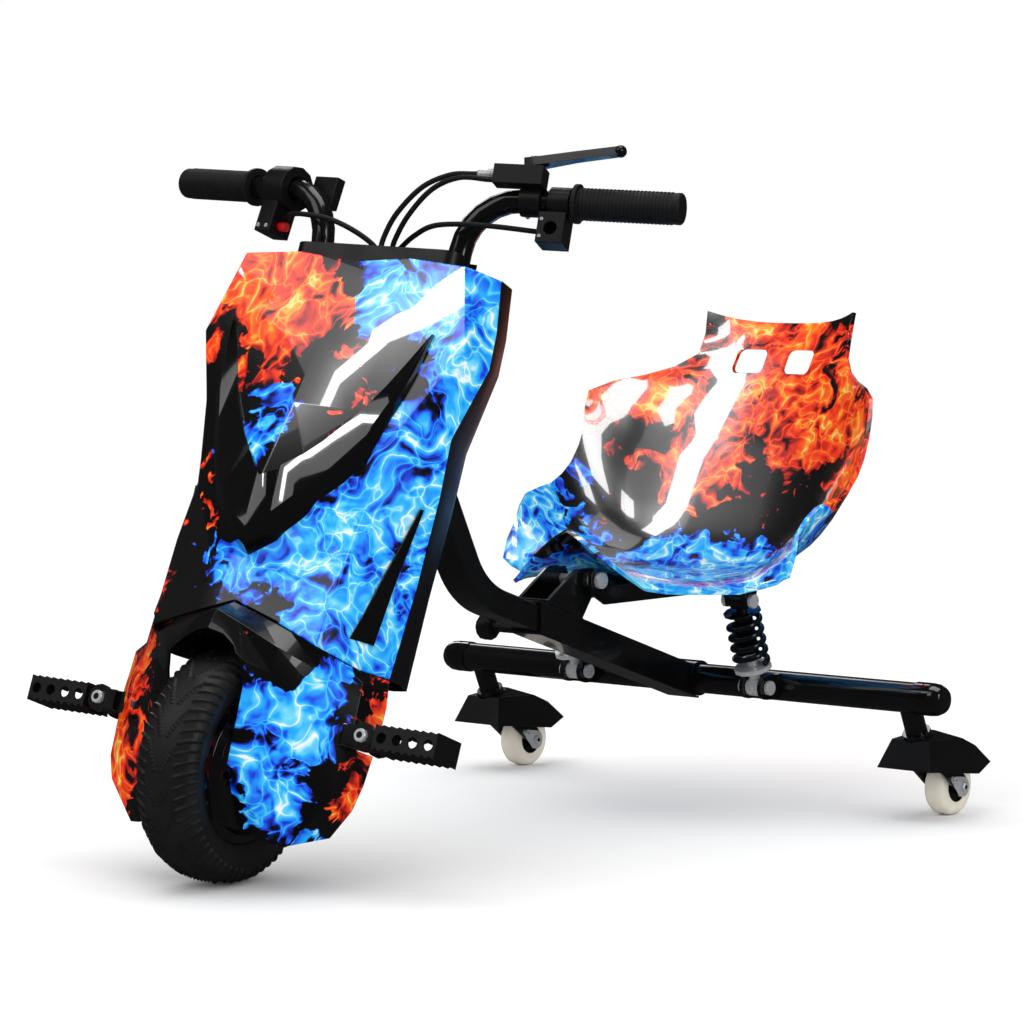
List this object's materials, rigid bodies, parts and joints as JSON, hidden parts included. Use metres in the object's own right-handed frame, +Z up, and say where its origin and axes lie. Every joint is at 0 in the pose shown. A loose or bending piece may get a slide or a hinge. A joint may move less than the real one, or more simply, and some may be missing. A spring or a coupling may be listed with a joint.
{
  "type": "drift trike",
  "caption": "Electric drift trike: driven front wheel under a printed body, swept handlebar, bent steel frame, sprung bucket seat and swivelling rear casters.",
  "frame": {"origin": "middle of the bounding box at floor level", "axes": "+X to the rider's left, -Y to the front, +Z up"},
  "size_m": [0.7, 1.0594, 0.718],
  "materials": {
    "black_paint": "satin black paint",
    "black_plastic": "matt black moulded plastic",
    "gloss_black": "gloss black moulded plastic",
    "flame_film": "gloss film with a fire and ice flame print",
    "seat_film": "gloss film with a fire and ice flame print",
    "rubber": "ribbed black rubber",
    "tyre": "black tyre rubber with a block tread",
    "cream": "cream cast wheel",
    "chrome": "bright plated steel",
    "steel": "plain zinc plated steel"
  },
  "bodies": {
    "rear_frame": {"rear_beam": "black_paint", "rear_axle": "black_paint", "axle_cap_left": "black_plastic", "axle_cap_right": "black_plastic", "seat_bracket": "black_paint", "seat_hinge_bolt": "chrome", "shock_bolt_low_left": "chrome", "shock_bolt_low_right": "chrome"},
    "lock_knob": {"lock_knob": "black_plastic"},
    "front_frame": {"gooseneck": "black_paint", "head_tube": "black_paint"},
    "steering": {"fork": "black_paint", "front_axle": "steel", "top_yoke": "black_paint", "handlebar": "black_paint", "front_panel": "flame_film", "chevron_trim": "gloss_black", "side_trim_left": "gloss_black", "side_trim_right": "gloss_black", "wheel_cover": "flame_film", "rear_cover": "black_plastic", "deck_lid": "black_plastic", "grip_left": "rubber", "throttle_housing": "black_plastic", "display": "black_plastic", "brake_perch": "black_paint", "switch_box": "black_plastic", "peg_bracket_left": "black_paint", "peg_bracket_right": "black_paint", "cable_throttle": "rubber", "cable_brake": "rubber", "cable_light": "rubber", "cable_power": "rubber"},
    "front_wheel": {"front_tyre": "tyre", "hub_motor": "gloss_black"},
    "throttle_grip": {"grip_right": "rubber"},
    "brake_lever": {"brake_lever": "black_paint"},
    "push_button": {"push_button": "black_plastic"},
    "peg_left": {"peg_left": "black_plastic"},
    "peg_right": {"peg_right": "black_plastic"},
    "seat": {"seat_shell": "seat_film", "seat_carrier": "black_paint", "shock_bolt_high_left": "chrome", "shock_bolt_high_right": "chrome"},
    "shock_low_left": {"shock_rod_left": "chrome", "shock_spring_left": "black_paint"},
    "shock_top_left": {"shock_body_left": "chrome"},
    "caster_left": {"caster_fork_left": "steel", "caster_fender_left": "black_plastic"},
    "caster_wheel_left": {"caster_hub_left": "gloss_black", "caster_tyre_left": "cream"},
    "shock_low_right": {"shock_rod_right": "chrome", "shock_spring_right": "black_paint"},
    "shock_top_right": {"shock_body_right": "chrome"},
    "caster_right": {"caster_fork_right": "steel", "caster_fender_right": "black_plastic"},
    "caster_wheel_right": {"caster_hub_right": "gloss_black", "caster_tyre_right": "cream"}
  },
  "joints": [
    {"name": "beam_slide", "type": "slide", "parent": "rear_frame", "child": "front_frame", "axis": [0, 0.948, -0.3183], "range_m": [-0.05, 0.045]},
    {"name": "lock_knob_turn", "type": "hinge", "parent": "rear_frame", "child": "lock_knob", "pos_m": [-0.0223, 0.05002, 0.20947], "axis": [1, 0, 0], "continuous": true},
    {"name": "steering_turn", "type": "hinge", "parent": "front_frame", "child": "steering", "pos_m": [0, -0.45198, 0], "axis": [0, 0.342, 0.9397], "range_deg": [-47.1, 28.9]},
    {"name": "front_wheel_spin", "type": "hinge", "parent": "steering", "child": "front_wheel", "pos_m": [0.00079, -0.41556, 0.11449], "axis": [0.9874, 0.1486, -0.0541], "continuous": true},
    {"name": "throttle_twist", "type": "hinge", "parent": "steering", "child": "throttle_grip", "pos_m": [-0.26068, -0.15317, 0.68422], "axis": [-0.9965, 0.0642, 0.0537], "range_deg": [0, 70], "stiffness_Nm_per_rad": 0.4, "springref_deg": -17.19},
    {"name": "brake_lever_pull", "type": "hinge", "parent": "steering", "child": "brake_lever", "pos_m": [0.13997, -0.11686, 0.69506], "axis": [-0.21, 0.2665, 0.9407], "range_deg": [0, 20], "stiffness_Nm_per_rad": 2, "springref_deg": -11.46},
    {"name": "push_button_press", "type": "slide", "parent": "steering", "child": "push_button", "axis": [-0.9965, 0.0642, 0.0537], "range_m": [0, 0.002], "stiffness_N_per_m": 400, "springref_m": -0.001},
    {"name": "peg_left_fold", "type": "hinge", "parent": "steering", "child": "peg_left", "pos_m": [0.15597, -0.37778, 0.14858], "axis": [0.1582, -0.9279, 0.3377], "range_deg": [0, 60]},
    {"name": "peg_right_fold", "type": "hinge", "parent": "steering", "child": "peg_right", "pos_m": [-0.15407, -0.42445, 0.16557], "axis": [-0.1582, 0.9279, -0.3377], "range_deg": [0, 60]},
    {"name": "seat_hinge", "type": "hinge", "parent": "rear_frame", "child": "seat", "pos_m": [0, 0.12302, 0.26], "axis": [-1, 0, 0], "range_deg": [0, 3.5], "stiffness_Nm_per_rad": 400, "springref_deg": -4.58},
    {"name": "shock_swing_left", "type": "hinge", "parent": "rear_frame", "child": "shock_low_left", "pos_m": [0.127, 0.28302, 0.137], "axis": [-1, 0, 0], "range_deg": [-2.49, 0.01]},
    {"name": "shock_stroke_left", "type": "slide", "parent": "shock_low_left", "child": "shock_top_left", "axis": [0, -0.309, 0.9511], "range_m": [-0.007, 0], "deforming": ["shock_spring_left"]},
    {"name": "caster_swivel_left", "type": "hinge", "parent": "rear_frame", "child": "caster_left", "pos_m": [0.302, 0.32652, 0.116], "axis": [0, -0.4226, 0.9063], "continuous": true},
    {"name": "caster_spin_left", "type": "hinge", "parent": "caster_left", "child": "caster_wheel_left", "pos_m": [0.302, 0.39802, 0.0318], "axis": [1, 0, 0], "continuous": true},
    {"name": "shock_swing_right", "type": "hinge", "parent": "rear_frame", "child": "shock_low_right", "pos_m": [-0.127, 0.28302, 0.137], "axis": [-1, 0, 0], "range_deg": [-2.49, 0.01]},
    {"name": "shock_stroke_right", "type": "slide", "parent": "shock_low_right", "child": "shock_top_right", "axis": [0, -0.309, 0.9511], "range_m": [-0.007, 0], "deforming": ["shock_spring_right"]},
    {"name": "caster_swivel_right", "type": "hinge", "parent": "rear_frame", "child": "caster_right", "pos_m": [-0.302, 0.32652, 0.116], "axis": [0, -0.4226, 0.9063], "continuous": true},
    {"name": "caster_spin_right", "type": "hinge", "parent": "caster_right", "child": "caster_wheel_right", "pos_m": [-0.302, 0.39802, 0.0318], "axis": [1, 0, 0], "continuous": true}
  ],
  "couplings": [
    {"joint": "shock_swing_left", "follows": "seat_hinge", "ratio": -0.69505},
    {"joint": "shock_stroke_left", "follows": "seat_hinge", "m_per_rad": -0.11073},
    {"joint": "shock_swing_right", "follows": "seat_hinge", "ratio": -0.69505},
    {"joint": "shock_stroke_right", "follows": "seat_hinge", "m_per_rad": -0.11073}
  ]
}
